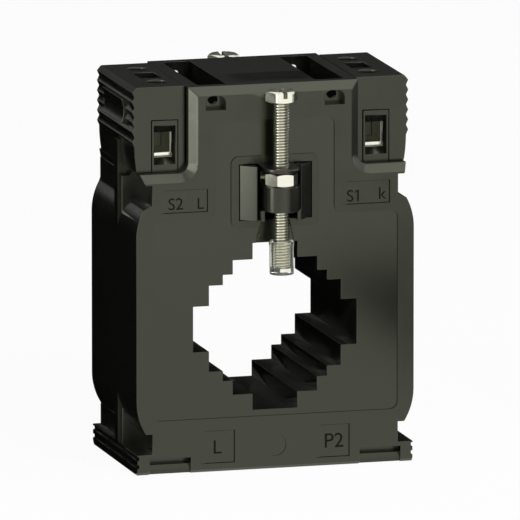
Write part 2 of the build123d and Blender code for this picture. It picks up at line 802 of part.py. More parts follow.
def screw_cap(side):
    """Clear cap over the screw's tip."""
    with BuildPart() as cap:
        with BuildSketch(Plane.XY.offset(clamp_screw_tip - cap_base)):
            with Locations((0, side * clamp_y)):
                Circle(cap_diameter / 2)
        extrude(amount=cap_height)
        with BuildSketch(Plane.XY.offset(clamp_screw_tip - cap_bore_clearance)):
            with Locations((0, side * clamp_y)):
                Circle(clamp_thread / 2 + cap_bore_clearance)
        extrude(amount=cap_height, mode=Mode.SUBTRACT)
    return cap


# Clamps on the front and rear faces
for end, side in (("front", -1), ("rear", 1)):
    clamp_pieces = (
        (f"clamp_holder_{end}", clamp_holder(side)),
        (f"clamp_nut_{end}", clamp_nut(side)),
        (f"clamp_screw_{end}", clamp_screw(side)),
        (f"screw_cap_{end}", screw_cap(side)),
    )
    for name, piece in clamp_pieces:
        piece.part.label = name
        export_step(piece.part, f"parts/{name}.step")

# Ring core of wound magnetic strip
with BuildPart() as ring_core:
    with BuildSketch(Plane.XY.offset(window_height)):
        with Locations(((core_inner_radius + core_outer_radius) / 2, 0)):
            Rectangle(core_outer_radius - core_inner_radius, core_width)
    revolve(axis=Axis((0, 0, window_height), (0, 1, 0)))
ring_core.part.label = "ring_core"
export_step(ring_core.part, "parts/ring_core.step")

# Winding round the core, with a short gap at the bottom between its two ends
gap_half = radians(winding_gap_angle / 2)
winding_plane = Plane(
    origin=(0, 0, window_height), x_dir=(sin(gap_half), 0, -cos(gap_half)), z_dir=(cos(gap_half), 0, sin(gap_half))
)
with BuildPart() as secondary_winding:
    with BuildSketch(winding_plane):
        with Locations(((winding_inner_radius + winding_outer_radius) / 2, 0)):
            Rectangle(winding_outer_radius - winding_inner_radius, 2 * winding_half_width)
            Rectangle(
                core_outer_radius - core_inner_radius + 2 * core_fit,
                core_width + 2 * core_fit,
                mode=Mode.SUBTRACT,
            )
    revolve(axis=Axis((0, 0, window_height), (0, -1, 0)), revolution_arc=360 - winding_gap_angle)
secondary_winding.part.label = "secondary_winding"
export_step(secondary_winding.part, "parts/secondary_winding.step")
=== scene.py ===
"""Looks of a moulded-case current transformer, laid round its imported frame."""

import math

import bmesh
import bpy
import numpy as np
from bpy.props import FloatProperty, FloatVectorProperty, IntProperty, PointerProperty
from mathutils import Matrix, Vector


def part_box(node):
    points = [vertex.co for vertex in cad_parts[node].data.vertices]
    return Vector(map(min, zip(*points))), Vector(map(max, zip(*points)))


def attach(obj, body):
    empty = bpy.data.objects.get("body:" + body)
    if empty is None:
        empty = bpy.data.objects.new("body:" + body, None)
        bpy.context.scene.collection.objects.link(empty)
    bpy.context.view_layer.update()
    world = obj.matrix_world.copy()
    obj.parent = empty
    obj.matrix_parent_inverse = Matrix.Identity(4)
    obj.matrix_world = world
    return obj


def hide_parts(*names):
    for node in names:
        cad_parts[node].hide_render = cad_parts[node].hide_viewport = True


bl_info = {
    "name": "Current transformer",
    "version": (1, 0, 0),
    "blender": (4, 5, 0),
    "location": "3D View > Sidebar > Transformer",
    "description": "Finishes a moulded-case current transformer round its packed frame",
    "category": "Object",
}

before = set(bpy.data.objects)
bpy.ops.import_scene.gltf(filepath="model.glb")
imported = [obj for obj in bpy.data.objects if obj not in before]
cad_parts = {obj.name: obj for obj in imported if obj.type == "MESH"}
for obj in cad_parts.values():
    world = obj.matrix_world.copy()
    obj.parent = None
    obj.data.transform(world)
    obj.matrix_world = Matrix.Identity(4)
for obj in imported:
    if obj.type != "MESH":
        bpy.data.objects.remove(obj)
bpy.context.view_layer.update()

MM = 0.001
WHITE = (1, 1, 1, 1)
HANDS = ("left", "right")
ENDS = ("front", "rear")

# Middle of the window and of the ring round it, over the underside
WINDOW_MIDDLE = 35.5 * MM

# Place along Y of the label field's floor, and how far from it still counts as that floor
LABEL_FLOOR = -20.6 * MM
LABEL_REACH = 0.06 * MM

# Points nearer than this are one point, on a CAD node and on a surface made here
NODE_WELD = 2e-6
SURFACE_WELD = 1e-7

# Faces of a CAD node that turn by less than FLAT are one face, and by more than BEND meet in an edge
FLAT = math.radians(0.5)
BEND = math.radians(30)

# A wall narrower than this has no room for rounded edges
SHALLOW = 0.45 * MM

# An edge within this of the case halves' joint lies in it
JOINT_REACH = 0.05 * MM


def linear(code):
    """Linear red, green and blue of an sRGB hex colour."""
    parts = np.array([int(code[i:i + 2], 16) / 255 for i in (1, 3, 5)])
    return tuple(np.where(parts <= 0.04045, parts / 12.92, ((parts + 0.055) / 1.055) ** 2.4))


class TransformerSizes(bpy.types.PropertyGroup):
    """Sizes of the fine detail that the frame leaves to this file."""

    edge_radius: FloatProperty(
        name="Edge radius", description="Rounding of the mouldings' edges", default=0.16 * MM, unit="LENGTH"
    )
    cover_radius: FloatProperty(
        name="Cover edge radius", description="Rounding of the covers' edges and ribs",
        default=0.17 * MM, unit="LENGTH",
    )
    bend_radius: FloatProperty(
        name="Bend radius", description="Rounding of the bent cages", default=0.12 * MM, unit="LENGTH"
    )
    bar_radius: FloatProperty(
        name="Bar radius", description="Rounding of the contact bars' edges", default=0.15 * MM, unit="LENGTH"
    )
    clamp_pitch: FloatProperty(
        name="Clamp thread pitch", description="Pitch of the two long screws", default=0.7 * MM, unit="LENGTH"
    )
    terminal_pitch: FloatProperty(
        name="Terminal thread pitch", description="Pitch of the four terminal screws",
        default=0.5 * MM, unit="LENGTH",
    )
    mark_stroke: FloatProperty(
        name="Mark stroke", description="How much each side of a mark's stroke is widened, or narrowed",
        default=-0.03 * MM, unit="LENGTH",
    )
    mark_relief: FloatProperty(
        name="Mark relief", description="How far the marks stand from their box",
        default=0.16 * MM, unit="LENGTH",
    )
    joint: FloatProperty(
        name="Joint", description="Place along Y where the two case halves meet",
        default=-3.6 * MM, unit="LENGTH",
    )
    turns: IntProperty(name="Turns", description="Turns of the winding round the ring", default=115)
    winding_band: FloatProperty(
        name="Winding band", description="From the winding's bore to its outside",
        default=8.6 * MM, unit="LENGTH",
    )
    wire: FloatProperty(
        name="Wire", description="How deep the winding dips between two turns",
        default=0.55 * MM, unit="LENGTH",
    )


class TransformerColours(bpy.types.PropertyGroup):
    """Colours of the finishes."""

    case: FloatVectorProperty(
        name="Case", description="Black moulding of case and covers",
        default=linear("#121310"), subtype="COLOR",
    )
    insert: FloatVectorProperty(
        name="Inserts", description="Black moulding of holders and bases",
        default=linear("#121210"), subtype="COLOR",
    )
    sheen: FloatVectorProperty(
        name="Sheen", description="Tint of the light that the mouldings mirror",
        default=linear("#f9ffe3"), subtype="COLOR",
    )
    zinc: FloatVectorProperty(
        name="Zinc", description="Plating of screws, nuts and cages",
        default=linear("#e9e8d8"), subtype="COLOR",
    )
    cap: FloatVectorProperty(
        name="Cap", description="Clear plastic of the screws' caps",
        default=linear("#f1f1e6"), subtype="COLOR",
    )
    copper: FloatVectorProperty(
        name="Copper", description="Enamelled wire", default=linear("#b4592c"), subtype="COLOR"
    )
    tin: FloatVectorProperty(
        name="Tin", description="Tinned contact bars", default=linear("#c9c3b2"), subtype="COLOR"
    )
    core: FloatVectorProperty(
        name="Core", description="Wound magnetic strip", default=linear("#85868a"), subtype="COLOR"
    )
    floor: FloatVectorProperty(
        name="Floor", description="Pale studio floor", default=linear("#f2f2f0"), subtype="COLOR"
    )


class TransformerStage(bpy.types.PropertyGroup):
    """Place and lens of the studio's camera."""

    azimuth: FloatProperty(
        name="Azimuth", description="Camera's turn from straight ahead",
        default=math.radians(-15.57), subtype="ANGLE",
    )
    elevation: FloatProperty(
        name="Elevation", description="Camera's height over the horizon",
        default=math.radians(10.75), subtype="ANGLE",
    )
    frame_width: FloatProperty(
        name="Frame width", description="Width that the picture spans", default=126.9 * MM, unit="LENGTH"
    )
    aim: FloatVectorProperty(
        name="Aim", description="Point at the picture's middle",
        default=(1.95 * MM, 0, 47.8 * MM), unit="LENGTH",
    )
    distance: FloatProperty(
        name="Distance", description="Camera's distance, long for a flat view", default=4.2, unit="LENGTH"
    )


def sizes():
    """The scene's sizes."""
    return bpy.context.scene.transformer_sizes


def colours():
    """The scene's colours."""
    return bpy.context.scene.transformer_colours


# Materials. Each finish that shows keeps its roughness on one side of 0.27, because the render's
# denoiser handles the two sides in different ways, and one that crosses over gets dark patches.

def add_node(tree, kind, inputs=None, **settings):
    """Adds a node, sets its properties, then sets each input to a value or links it to a socket."""
    node = tree.nodes.new(kind)
    for key, value in settings.items():
        setattr(node, key, value)
    for key, value in (inputs or {}).items():
        if isinstance(value, bpy.types.NodeSocket):
            tree.links.new(value, node.inputs[key])
        else:
            node.inputs[key].default_value = value
    return node


def new_material(name):
    """An empty node material: the material, its tree and its Object coordinates."""
    material = bpy.data.materials.new(name)
    material.use_nodes = True
    tree = material.node_tree
    tree.nodes.clear()
    place = add_node(tree, "ShaderNodeTexCoord").outputs["Object"]
    return material, tree, place


def noise(tree, place, size, detail=2.0, roughness=0.5):
    """Noise whose features measure about size, as one value from 0 to 1."""
    inputs = {"Vector": place, "Scale": 0.5 / size, "Detail": detail, "Roughness": roughness}
    return add_node(tree, "ShaderNodeTexNoise", inputs).outputs["Fac"]


def spread(tree, value, low, high):
    """Noise from 0.3 to 0.7, where most of it lies, mapped to low and high and held there."""
    inputs = {"Value": value, "From Min": 0.3, "From Max": 0.7, "To Min": low, "To Max": high}
    return add_node(tree, "ShaderNodeMapRange", inputs).outputs["Result"]


def calculate(tree, operation, first, second=0.0, third=0.0):
    """One Math node."""
    inputs = {0: first, 1: second, 2: third}
    return add_node(tree, "ShaderNodeMath", inputs, operation=operation).outputs[0]


def darkened(colour, share):
    """A share of a colour."""
    return tuple(c * share for c in colour)


def blend_colours(tree, factor, first, second):
    """Mixes two colours, each a triple or a socket, by a factor. The Mix node's sockets go by
    number, because those of its other data types have the same names."""
    node = add_node(tree, "ShaderNodeMix", data_type="RGBA")
    for index, value in ((0, factor), (6, first), (7, second)):
        if isinstance(value, bpy.types.NodeSocket):
            tree.links.new(value, node.inputs[index])
        else:
            node.inputs[index].default_value = (*value, 1.0) if index else value
    return node.outputs[2]


def shades(tree, factor, colour, step):
    """A colour that drifts a step darker and lighter by a factor."""
    lighter = tuple(min(1.0, c * (1 + step)) for c in colour)
    return blend_colours(tree, factor, darkened(colour, 1 - step), lighter)


def seen_directly(tree):
    """1 for the camera's rays and for those that metal and clear plastic send on, else 0."""
    path = add_node(tree, "ShaderNodeLightPath").outputs
    total = calculate(tree, "ADD", path["Is Camera Ray"], path["Is Glossy Ray"])
    return calculate(tree, "MINIMUM", calculate(tree, "ADD", total, path["Is Transmission Ray"]), 1.0)


def close(tree, shader):
    """Links the shader to the material's output."""
    output = add_node(tree, "ShaderNodeOutputMaterial")
    tree.links.new(shader, output.inputs["Surface"])


def principled(tree, colour, roughness, height=None, depth=0.0, **constants):
    """The material's shader, with bump from a height from 0 to 1 that is depth deep."""
    inputs = {"Base Color": colour, "Roughness": roughness}
    if height is not None:
        bump = add_node(tree, "ShaderNodeBump", {"Height": height, "Distance": depth, "Strength": 1.0})
        inputs["Normal"] = bump.outputs["Normal"]
    inputs.update({key.replace("_", " "): value for key, value in constants.items()})
    close(tree, add_node(tree, "ShaderNodeBsdfPrincipled", inputs).outputs["BSDF"])


def spark_textured_polymer(name, colour, shiny, dull, level=0.52, label=False):
    """Black polymer moulded in a spark-eroded tool. Its fine even grain spreads light into a
    soft sheen. The grain is drawn at 0.12 mm, coarser than the real 0.05 mm, to show. With a
    label field, the floor of that field is the polished part of the tool."""
    material, tree, place = new_material(name)
    drift = noise(tree, place, 7 * MM, 3.0)
    grain = noise(tree, place, 0.12 * MM)
    base = shades(tree, drift, colour, 0.16)
    rough = spread(tree, noise(tree, place, 2.5 * MM, 4.0), shiny, dull)
    if label:
        polished, grain_lost, tone = 0.14, 0.75, 0.8
        deep = add_node(tree, "ShaderNodeSeparateXYZ", {"Vector": place}).outputs["Y"]
        field = calculate(tree, "COMPARE", deep, LABEL_FLOOR, LABEL_REACH)
        base = blend_colours(tree, field, base, darkened(colour, tone))
        rough = calculate(tree, "MULTIPLY_ADD", field, calculate(tree, "SUBTRACT", polished, rough), rough)
        grain = calculate(tree, "MULTIPLY", grain, calculate(tree, "MULTIPLY_ADD", field, -grain_lost, 1.0))
    principled(
        tree, base, rough, grain, 0.0015 * MM,
        IOR=1.585, Specular_IOR_Level=level, Specular_Tint=(*colours().sheen, 1.0),
    )
    return material


def plated_metal(name, colour, shiny, dull):
    """Bright plating over turned or bent steel or copper: patches of duller and brighter plate
    about 1 mm wide, and a faint ripple of the metal below at half a millimetre. The shade
    attribute paints shade into the thread roots and the flanks that face down, making them dark."""
    material, tree, place = new_material(name)
    patches = noise(tree, place, 1.1 * MM, 4.0, 0.6)
    ripple = noise(tree, place, 0.5 * MM, 3.0)
    # Painted shade: the shade attribute darkens thread roots and the flanks that face down
    root = add_node(tree, "ShaderNodeAttribute", attribute_name="shade").outputs["Fac"]
    base = blend_colours(tree, root, shades(tree, patches, colour, 0.07), darkened(colour, 0.18))
    principled(tree, base, spread(tree, patches, shiny, dull), ripple, 0.0012 * MM, Metallic=1.0)
    return material


def clear_moulding(name, colour):
    """Clear soft plastic of the screws' caps, with a slight milkiness and flow ripples."""
    material, tree, place = new_material(name)
    ripple = noise(tree, place, 1.2 * MM, 2.0)
    base = shades(tree, ripple, colour, 0.03)
    rough = spread(tree, ripple, 0.02, 0.05)
    principled(tree, base, rough, ripple, 0.003 * MM, IOR=1.49, Transmission_Weight=0.96)
    return material


def enamelled_wire(name, colour):
    """Copper under a clear amber enamel: a metal with a gloss coat and slow tone changes."""
    material, tree, place = new_material(name)
    drift = noise(tree, place, 2.4 * MM, 3.0)
    base = shades(tree, drift, colour, 0.12)
    principled(
        tree, base, spread(tree, drift, 0.22, 0.36), noise(tree, place, 0.2 * MM), 0.003 * MM,
        Metallic=1.0, Coat_Weight=0.7, Coat_Roughness=0.12,
    )
    return material


def wound_strip(name, colour):
    """Silicon-steel strip wound on edge into a ring. Its side shows one line per layer, drawn
    every 0.5 mm, coarser than the real 0.3 mm, round the ring's axis at the window's middle."""
    material, tree, place = new_material(name)
    axes = add_node(tree, "ShaderNodeSeparateXYZ", {"Vector": place}).outputs
    rise = calculate(tree, "SUBTRACT", axes["Z"], WINDOW_MIDDLE)
    square_x = calculate(tree, "POWER", axes["X"], 2.0)
    square_z = calculate(tree, "POWER", rise, 2.0)
    radius = calculate(tree, "SQRT", calculate(tree, "ADD", square_x, square_z))
    layers = calculate(tree, "MULTIPLY", radius, 2 * math.pi / (0.5 * MM))
    wave = calculate(tree, "MULTIPLY_ADD", calculate(tree, "SINE", layers), 0.5, 0.5)
    scale = noise(tree, place, 1.5 * MM, 4.0)
    base = shades(tree, calculate(tree, "MULTIPLY", wave, scale), colour, 0.3)
    principled(tree, base, spread(tree, scale, 0.32, 0.5), wave, 0.02 * MM, Metallic=1.0)
    return material


def studio_floor(name, colour, share):
    """Matt studio board. The camera, metal and clear plastic see a share of plain white in it,
    as in a picture cut out on white, and the rest keeps the object's shadow."""
    material, tree, place = new_material(name)
    fibre = noise(tree, place, 3 * MM, 4.0)
    inputs = {"Base Color": shades(tree, fibre, colour, 0.01), "Roughness": spread(tree, fibre, 0.75, 0.85)}
    matt = add_node(tree, "ShaderNodeBsdfPrincipled", inputs).outputs["BSDF"]
    white = add_node(tree, "ShaderNodeEmission", {"Color": WHITE, "Strength": 1.0}).outputs[0]
    factor = calculate(tree, "MULTIPLY", seen_directly(tree), share)
    close(tree, add_node(tree, "ShaderNodeMixShader", {0: factor, 1: matt, 2: white}).outputs[0])
    return material


def matt_cloth(name, colour):
    """Matt cloth or card of a studio flag, with a fine weave."""
    material, tree, place = new_material(name)
    weave = noise(tree, place, 1 * MM)
    base = shades(tree, weave, colour, 0.1)
    principled(tree, base, spread(tree, weave, 0.9, 1.0), Specular_IOR_Level=0.0)
    return material


# Surfaces

def lattice(grid, wrap_rows=False, wrap_columns=True):
    """Points and quads of a grid of points, joined round in the directions that wrap."""
    rows, columns = grid.shape[:2]
    steps_down = np.arange(rows if wrap_rows else rows - 1)
    steps_along = np.arange(columns if wrap_columns else columns - 1)
    i, j = np.meshgrid(steps_down, steps_along, indexing="ij")
    down, along = (i + 1) % rows, (j + 1) % columns
    quads = np.stack([i * columns + j, i * columns + along, down * columns + along, down * columns + j], -1)
    return grid.reshape(-1, 3), quads.reshape(-1, 4)


def closed_mesh(name, points, faces, shade=None):
    """A mesh of closed surfaces, with a shade for each point if it is given. Poles and seams are
    welded, and faces are turned outward."""
    mesh = bpy.data.meshes.new(name)
    mesh.from_pydata(points, [], faces)
    if shade is not None:
        mesh.attributes.new("shade", "FLOAT", "POINT").data.foreach_set("value", shade)
    work = bmesh.new()
    work.from_mesh(mesh)
    bmesh.ops.remove_doubles(work, verts=work.verts, dist=SURFACE_WELD)
    bmesh.ops.recalc_face_normals(work, faces=work.faces)
    work.to_mesh(mesh)
    work.free()
    return mesh


def placed(name, mesh, material, body, nodes=()):
    """An object of that mesh, in the scene, riding on its body and standing for its nodes."""
    piece = bpy.data.objects.new(name, mesh)
    bpy.context.scene.collection.objects.link(piece)
    mesh.materials.clear()
    mesh.materials.append(material)
    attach(piece, body)
    if nodes:
        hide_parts(*nodes)
    return piece


def object_from(node, parts, material, body, sharp=35):
    """A look that stands for a node, from several sets of points and quads, some with a shade for
    each point. Edges sharper than the angle in degrees stay crisp."""
    points, quads, shaded, start = [], [], [], 0
    for part_points, part_quads, *shade in parts:
        points.append(part_points)
        quads.append(part_quads + start)
        shaded.append(shade[0] if shade else np.zeros(len(part_points)))
        start += len(part_points)
    name = node + "_look"
    mesh = closed_mesh(name, np.concatenate(points), np.concatenate(quads).tolist(), np.concatenate(shaded))
    mesh.shade_smooth()
    mesh.set_sharp_from_angle(angle=math.radians(sharp))
    placed(name, mesh, material, body, (node,))


def merged_copy(node, material, body, radius, segments=2):
    """A CAD node's own surface, its flat faces merged. A live bevel rounds the outer edges. Inner
    edges, those of shallow walls and those where the case halves meet stay crisp, and large faces
    rule the shading."""
    work = bmesh.new()
    work.from_mesh(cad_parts[node].data)
    bmesh.ops.remove_doubles(work, verts=work.verts, dist=NODE_WELD)
    bmesh.ops.dissolve_limit(work, angle_limit=FLAT, verts=work.verts, edges=work.edges)
    weight = work.edges.layers.float.new("bevel_weight_edge")
    for edge in work.edges:
        if edge.calc_face_angle(0) > BEND:
            wall = min(face.calc_area() for face in edge.link_faces) / edge.calc_length()
            in_joint = all(abs(vertex.co.y - sizes().joint) < JOINT_REACH for vertex in edge.verts)
            edge.smooth = edge.is_convex and wall > SHALLOW and not in_joint
            edge[weight] = float(edge.smooth)
    for face in work.faces:
        face.smooth = True
    mesh = bpy.data.meshes.new(node + "_look")
    work.to_mesh(mesh)
    work.free()
    piece = placed(node + "_look", mesh, material, body, (node,))
    bevel = piece.modifiers.new("edges", "BEVEL")
    bevel.width = radius
    bevel.segments = segments
    bevel.limit_method = "WEIGHT"
    bevel.use_clamp_overlap = False
    shading = piece.modifiers.new("shading", "WEIGHTED_NORMAL")
    shading.keep_sharp = True


def threaded_rod(centre, radius, pitch, bottom, top, columns=48):
    """Rod with a right-hand V thread about an upright axis. Each row of points keeps one phase of
    the thread and climbs by a pitch in a turn: height = start + pitch * (turns + angle / full
    turn). The radius goes by the phase: flat root, 60 degree flank, flat crest, flank. The last
    column joins the first one a turn higher. The tip narrows at 45 degrees, and both ends close
    on the axis. The painted shade is 1 in the root, fades out up the flank that faces down, and
    reaches only the foot of the one that faces up."""
    thread = (
        # Phase, share of the depth that is cut away, painted shade
        (0.0, 1.0, 1.0), (0.06, 1.0, 0.9), (0.245, 0.5, 0.3), (0.43, 0.0, 0.0),
        (0.5, 0.0, 0.0), (0.57, 0.0, 0.0), (0.755, 0.5, 0.0), (0.94, 1.0, 0.3),
    )
    phases, cuts, shade = np.array(thread).T
    deep = 0.61 * pitch
    tip = radius - 0.75 * pitch
    turns = int((top - bottom) / pitch) + 5
    start = bottom - 2 * pitch
    rows = (np.arange(turns)[:, None] + phases).ravel()[:, None]
    around = np.arange(columns)[None] / columns
    climb = start + pitch * (rows + around)
    r = radius - deep * np.tile(cuts, turns)[:, None]
    r = np.minimum(r, tip + np.maximum(climb - bottom, 0))
    r = r * np.clip((climb - bottom) / pitch + 1, 0, 1) * np.clip((top - climb) / pitch + 1, 0, 1)
    angle = around * 2 * np.pi
    z = np.clip(climb, bottom, top)
    grid = np.stack([centre[0] + r * np.cos(angle), centre[1] + r * np.sin(angle), z], -1)
    points, quads = lattice(grid, wrap_columns=False)
    low = np.arange(len(grid) - len(phases) - 1)
    last, first = low * columns + columns - 1, (low + len(phases)) * columns
    seam = np.stack([last, first, first + columns, last + columns], -1)
    return points, np.concatenate([quads, seam]), np.repeat(np.tile(shade, turns), columns)


def hexagon_outline(flats):
    """From a hexagon's middle to its corner, and its half length at a distance towards that
    corner: the rest of the way times the root of 3, up to half the width across flats."""
    corner = flats / math.sqrt(3)
    return corner, lambda u: np.clip((corner - np.abs(u)) * math.sqrt(3), 0, flats / 2)


def round_outline(radius):
    """The same two of a circle, whose half length is the root of radius squared less distance
    squared."""
    return radius, lambda u: np.sqrt(np.maximum(radius ** 2 - u ** 2, 0))


def slotted_head(centre, outline, bottom, top, slot, deep, rim, fall, under=0.0, dish=0.0, along_y=False):
    """Screw head as closed sections set side by side across its slot. Each section is as long
    as the head's outline there. Beyond the rim's radius the top falls and the underside rises by
    their slopes. The top is dished as one less the square of the radius, the slot is cut to its
    floor, and its upper edges are broken. The slot lies along X or along Y."""
    half_width, reach = outline
    half_slot = slot / 2
    broken = 0.1 * MM
    wall = 1e-6
    sections, steps_along = 41, 17
    lines = half_width * np.sin(np.linspace(-np.pi / 2, np.pi / 2, sections))
    walls = np.array([half_slot - wall, half_slot, half_slot + broken])
    lines = np.unique(np.concatenate([lines[np.abs(lines) > half_slot + broken], walls, -walls, [0.0]]))
    steps = np.sin(np.linspace(-np.pi / 2, np.pi / 2, steps_along))
    u = np.repeat(lines[:, None], len(steps), 1)
    v = reach(u) * steps
    far = np.hypot(u, v)
    z = top - np.maximum(far - rim, 0) * fall - dish * np.clip(1 - (far / (0.8 * rim)) ** 2, 0, 1)
    z -= np.clip(broken - (np.abs(u) - half_slot), 0, broken)
    z = np.where(np.abs(u) < half_slot - wall / 2, top - deep, z)
    low = bottom + np.maximum(far - rim, 0) * under
    u = np.concatenate([u, u[:, ::-1]], 1)
    v = np.concatenate([v, v[:, ::-1]], 1)
    z = np.concatenate([z, low], 1)
    plan = (u, v) if along_y else (v, u)
    return lattice(np.stack([centre[0] + plan[0], centre[1] + plan[1], z], -1))


def slotted_screw(node, low, high, finish, outline, radius, pitch, head_height, **head):
    """Upright screw in a node's box: a threaded rod that ends inside a slotted head."""
    centre = (low + high) / 2
    head_bottom = high.z - head_height
    overlap = 0.2 * MM
    shank = threaded_rod(centre, radius, pitch, low.z, head_bottom + overlap)
    top = slotted_head(centre, outline, head_bottom, high.z, **head)
    object_from(node, [shank, top], finish, node)


def revolved(centre, profile, columns, reshape=None):
    """A profile of radius and height, turned about an upright axis. One that starts and ends on
    the axis makes a solid or a vessel, any other is joined round to a ring. reshape may change
    radius and height by the angle."""
    profile = np.array(profile)
    angles = np.arange(columns) * 2 * np.pi / columns
    r = np.repeat(profile[:, :1], columns, 1)
    z = np.repeat(profile[:, 1:], columns, 1)
    a = np.repeat(angles[None], len(profile), 0)
    if reshape:
        r, z = reshape(r, z, a)
    grid = np.stack([centre[0] + r * np.cos(a), centre[1] + r * np.sin(a), z], -1)
    return lattice(grid, wrap_rows=profile[0, 0] > 0)


# Operators

class TRANSFORMER_OT_case(bpy.types.Operator):
    """Round the edges of the two case halves and give them their moulded finish"""

    bl_idname = "transformer.case"
    bl_label = "Case halves"
    bl_options = {"REGISTER", "UNDO"}

    def execute(self, context):
        finish = spark_textured_polymer(
            "textured_polycarbonate_case", colours().case, shiny=0.2, dull=0.265, label=True
        )
        for node in ("front_shell", "rear_shell"):
            merged_copy(node, finish, "case", sizes().edge_radius)
        return {"FINISHED"}


class TRANSFORMER_OT_covers(bpy.types.Operator):
    """Round the edges of the two terminal covers and finish them"""

    bl_idname = "transformer.covers"
    bl_label = "Terminal covers"
    bl_options = {"REGISTER", "UNDO"}

    def execute(self, context):
        finish = spark_textured_polymer(
            "textured_polycarbonate_cover", colours().case, shiny=0.2, dull=0.265
        )
        for hand in HANDS:
            node = f"terminal_cover_{hand}"
            merged_copy(node, finish, node, sizes().cover_radius)
        return {"FINISHED"}


class TRANSFORMER_OT_inserts(bpy.types.Operator):
    """Round the edges of the terminal bases and clamp holders and finish them"""

    bl_idname = "transformer.inserts"
    bl_label = "Bases and holders"
    bl_options = {"REGISTER", "UNDO"}

    def execute(self, context):
        base = spark_textured_polymer("smooth_polyamide_base", colours().insert, shiny=0.21, dull=0.265)
        holder = spark_textured_polymer("smooth_polyamide_holder", colours().insert, shiny=0.21, dull=0.265)
        for hand in HANDS:
            merged_copy(f"terminal_base_{hand}", base, "case", sizes().edge_radius * 0.6)
        for end in ENDS:
            merged_copy(f"clamp_holder_{end}", holder, "case", sizes().edge_radius)
        return {"FINISHED"}


class TRANSFORMER_OT_clamps(bpy.types.Operator):
    """Thread and head the two clamp screws, with their nuts and clear caps"""

    bl_idname = "transformer.clamps"
    bl_label = "Clamp screws, nuts and caps"
    bl_options = {"REGISTER", "UNDO"}

    def execute(self, context):
        zinc = plated_metal("zinc_plated_steel_clamp", colours().zinc, shiny=0.21, dull=0.27)
        clear = clear_moulding("clear_polyethylene_cap", colours().cap)
        for end in ENDS:
            low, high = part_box(f"clamp_screw_{end}")
            slotted_screw(
                f"clamp_screw_{end}", low, high, zinc, hexagon_outline(high.y - low.y),
                radius=2.0 * MM, pitch=sizes().clamp_pitch, head_height=2.9 * MM,
                slot=1.05 * MM, deep=1.6 * MM, rim=3.1 * MM, fall=0.6, under=0.5,
                dish=0.3 * MM, along_y=True,
            )
            centre = (low + high) / 2
            self.nut(end, centre, zinc)
            self.cap(end, centre, clear)
        return {"FINISHED"}

    def nut(self, end, centre, zinc):
        """Hexagon nut: its outline is flat / cos of the angle from the flat's middle, and both
        faces fall by half of what they reach beyond the washer circle."""
        low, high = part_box(f"clamp_nut_{end}")
        flat = (high.y - low.y) / 2
        bore, washer, lead_in = 2.05 * MM, 3.3 * MM, 0.25 * MM
        profile = (
            (bore, low.z + lead_in), (bore + lead_in, low.z), (washer, low.z), (flat, low.z),
            (flat, high.z), (washer, high.z), (bore + lead_in, high.z), (bore, high.z - lead_in),
        )

        def six_sided(r, z, a):
            outline = flat / np.cos(a % (math.pi / 3) - math.pi / 6)
            rim = r == flat
            drop = np.where(rim, (outline - washer) * 0.5, 0)
            middle = (low.z + high.z) / 2
            return np.where(rim, outline, r), np.where(z < middle, z + drop, z - drop)

        ring = revolved(centre, profile, columns=96, reshape=six_sided)
        object_from(f"clamp_nut_{end}", [ring], zinc, "case", sharp=25)

    def cap(self, end, centre, clear):
        """Clear cap: a cup with a stepped collar at its mouth and a flat base with broken edges.
        Its floor lies just under the screw's tip."""
        low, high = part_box(f"screw_cap_{end}")
        base, mouth = low.z, high.z
        outer = (high.x - low.x) / 2
        body = outer - 0.15 * MM
        bore = 2.1 * MM
        tip = 51.0 * MM
        floor = tip - 0.1 * MM
        collar = mouth - 0.9 * MM
        chamfer, lead_in, fillet, broken = 0.1 * MM, 0.2 * MM, 0.3 * MM, 0.08 * MM
        profile = (
            (0.0, base), (body - broken, base), (body, base + broken), (body, collar),
            (outer, collar + chamfer), (outer, mouth - chamfer), (outer - chamfer, mouth),
            (bore + lead_in, mouth), (bore, mouth - lead_in),
            (bore, floor + fillet), (bore - fillet, floor), (0.0, floor),
        )
        vessel = revolved(centre, profile, columns=48)
        object_from(f"screw_cap_{end}", [vessel], clear, f"screw_cap_{end}", sharp=30)


class TRANSFORMER_OT_terminals(bpy.types.Operator):
    """Round the cages' bends, thread the terminal screws and finish the contact bars"""

    bl_idname = "transformer.terminals"
    bl_label = "Terminals"
    bl_options = {"REGISTER", "UNDO"}

    def execute(self, context):
        zinc = plated_metal("zinc_plated_steel_terminal", colours().zinc, shiny=0.15, dull=0.26)
        tin = plated_metal("tinned_copper_bar", colours().tin, shiny=0.29, dull=0.44)
        for hand in HANDS:
            merged_copy(f"terminal_bar_{hand}", tin, "case", sizes().bar_radius)
            for end in ENDS:
                name = f"{hand}_{end}"
                cage = f"terminal_cage_{name}"
                merged_copy(cage, zinc, cage, sizes().bend_radius, segments=3)
                low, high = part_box(f"terminal_screw_{name}")
                head_radius = (high.x - low.x) / 2
                slotted_screw(
                    f"terminal_screw_{name}", low, high, zinc, round_outline(head_radius),
                    radius=1.5 * MM, pitch=sizes().terminal_pitch, head_height=2.0 * MM,
                    slot=0.7 * MM, deep=0.9 * MM, rim=head_radius - 0.3 * MM, fall=0.7,
                )
        return {"FINISHED"}


